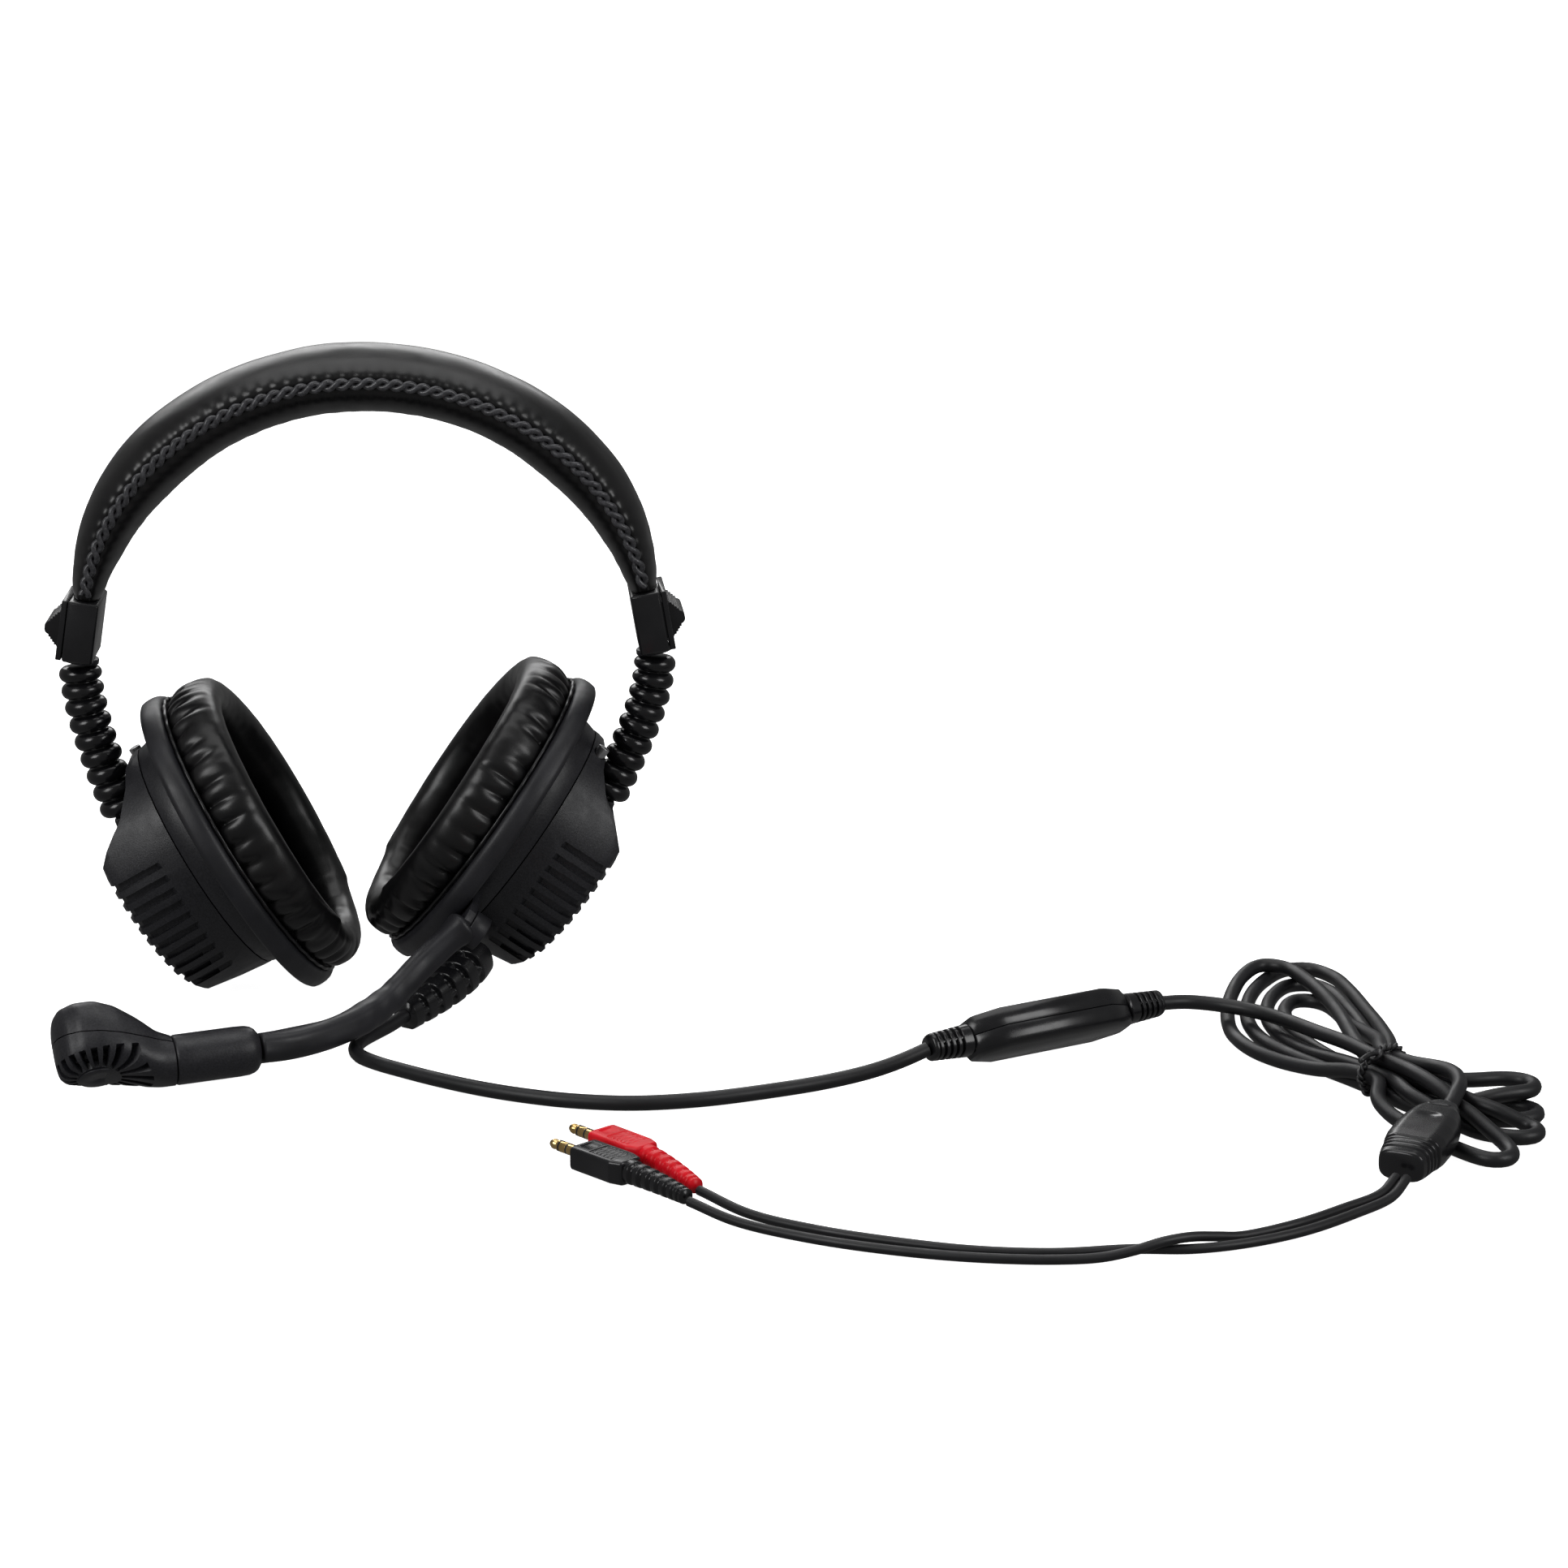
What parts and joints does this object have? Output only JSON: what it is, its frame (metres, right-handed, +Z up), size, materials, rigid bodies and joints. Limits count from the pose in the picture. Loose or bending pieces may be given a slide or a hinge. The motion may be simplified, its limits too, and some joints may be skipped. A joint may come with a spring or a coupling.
{
  "type": "aviation headset",
  "caption": "Padded headband with two oval noise-isolating ear cups on flexible bellows arms, a boom microphone and a cord with an in-line case and two plugs.",
  "frame": {"origin": "on the table under the middle of the box around the headband, cups, arms and microphone, leaving out the cord and what is on it", "axes": "+Z up; the headband spans X with the boom's cup, the wearer's left, on +X; -Y is the way the wearer faces"},
  "size_m": [0.469, 0.3373, 0.2212],
  "materials": {
    "padded_leatherette": "soft satin",
    "matte_rubber": "matte",
    "textured_plastic": "fine-grained matte",
    "gloss_moulding": "semi-gloss",
    "steel": "plain",
    "acoustic_foam": "open foam",
    "gold_plating": "polished",
    "red_moulding": "semi-gloss"
  },
  "bodies": {
    "left_cup": {"left_flange_ring": "matte_rubber", "left_ear_cushion": "padded_leatherette", "left_baffle_plate": "textured_plastic", "left_speaker_driver": "steel", "left_cup_base": "textured_plastic", "left_cup_shell": "textured_plastic", "left_case_screw": "steel", "left_pivot_pin": "steel", "boom_bracket": "textured_plastic", "boom_pivot_screw": "steel", "cable_strain_relief": "gloss_moulding", "main_cord": "matte_rubber", "inline_relief_in": "gloss_moulding", "inline_case_top": "gloss_moulding", "inline_case_bottom": "gloss_moulding", "inline_relief_out": "gloss_moulding", "hank_lead_in": "matte_rubber", "cord_hank": "matte_rubber", "cord_tie": "matte_rubber", "cord_splitter": "gloss_moulding", "branch_cord_black": "matte_rubber", "branch_cord_red": "matte_rubber", "plug_black_body": "gloss_moulding", "plug_black_pin": "gold_plating", "plug_red_body": "red_moulding", "plug_red_pin": "gold_plating"},
    "left_arm_lower": {"left_arm_lug": "textured_plastic"},
    "left_arm_upper": {"left_arm_ferrule": "textured_plastic", "left_size_strip": "steel", "left_arm_bellows": "gloss_moulding", "left_arm_wire": "steel"},
    "headband": {"headband_cover": "padded_leatherette", "headband_spring_strip": "steel", "left_slider_housing": "textured_plastic", "left_slider_cover": "textured_plastic", "right_slider_housing": "textured_plastic", "right_slider_cover": "textured_plastic"},
    "left_button": {"left_release_button": "textured_plastic"},
    "right_button": {"right_release_button": "textured_plastic"},
    "right_arm_upper": {"right_arm_ferrule": "textured_plastic", "right_size_strip": "steel", "right_arm_bellows": "gloss_moulding", "right_arm_wire": "steel"},
    "right_arm_lower": {"right_arm_lug": "textured_plastic"},
    "right_cup": {"right_flange_ring": "matte_rubber", "right_ear_cushion": "padded_leatherette", "right_baffle_plate": "textured_plastic", "right_speaker_driver": "steel", "right_cup_base": "textured_plastic", "right_cup_shell": "textured_plastic", "right_case_screw": "steel", "right_pivot_pin": "steel"},
    "boom_upper": {"boom_knuckle": "textured_plastic", "boom_tube_upper": "matte_rubber"},
    "boom_lower": {"boom_tube_lower": "matte_rubber", "mic_sleeve": "textured_plastic"},
    "microphone": {"mic_head_rear": "textured_plastic", "mic_head_grille": "textured_plastic", "mic_foam": "acoustic_foam"}
  },
  "joints": [
    {"name": "left_cup_tilt", "type": "hinge", "parent": "left_cup", "child": "left_arm_lower", "pos_m": [0.07803, 0.0379, 0.0596], "axis": [0, 1, 0], "range_deg": [0, 12]},
    {"name": "left_arm_flex", "type": "hinge", "parent": "left_arm_lower", "child": "left_arm_upper", "pos_m": [0.09138, 0.0379, 0.08849], "axis": [0, 1, 0], "range_deg": [0, 28], "deforming": ["left_arm_bellows", "left_arm_wire"]},
    {"name": "left_size_slide", "type": "slide", "parent": "left_arm_upper", "child": "headband", "axis": [-0.1633, 0, 0.9866], "range_m": [0, 0.018]},
    {"name": "left_release_press", "type": "slide", "parent": "headband", "child": "left_button", "axis": [-0.9866, 0, -0.1633], "range_m": [0, 0.0016], "stiffness_N_per_m": 1500, "springref_m": -0.0008},
    {"name": "right_release_press", "type": "slide", "parent": "headband", "child": "right_button", "axis": [0.9866, 0, -0.1633], "range_m": [0, 0.0016], "stiffness_N_per_m": 1500, "springref_m": -0.0008},
    {"name": "right_size_slide", "type": "slide", "parent": "headband", "child": "right_arm_upper", "axis": [-0.1633, 0, -0.9866], "range_m": [0, 0.018]},
    {"name": "right_arm_flex", "type": "hinge", "parent": "right_arm_upper", "child": "right_arm_lower", "pos_m": [-0.09313, 0.0379, 0.08757], "axis": [0, 1, 0], "range_deg": [0, 28], "deforming": ["right_arm_bellows", "right_arm_wire"]},
    {"name": "right_cup_tilt", "type": "hinge", "parent": "right_arm_lower", "child": "right_cup", "pos_m": [-0.08342, 0.0379, 0.05698], "axis": [0, 1, 0], "range_deg": [0, 12]},
    {"name": "boom_swivel", "type": "hinge", "parent": "left_cup", "child": "boom_upper", "pos_m": [0.03184, -0.0131, 0.03282], "axis": [-0.8039, 0, 0.5948], "range_deg": [-5, 60]},
    {"name": "boom_bend", "type": "hinge", "parent": "boom_upper", "child": "boom_lower", "pos_m": [-0.0033, -0.0431, 0.011], "axis": [0, 0, 1], "range_deg": [-15, 15]},
    {"name": "mic_head_turn", "type": "hinge", "parent": "boom_lower", "child": "microphone", "pos_m": [-0.0614, -0.074, 0.00888], "axis": [0.9584, 0.2847, 0.0187], "range_deg": [-45, 45]}
  ]
}
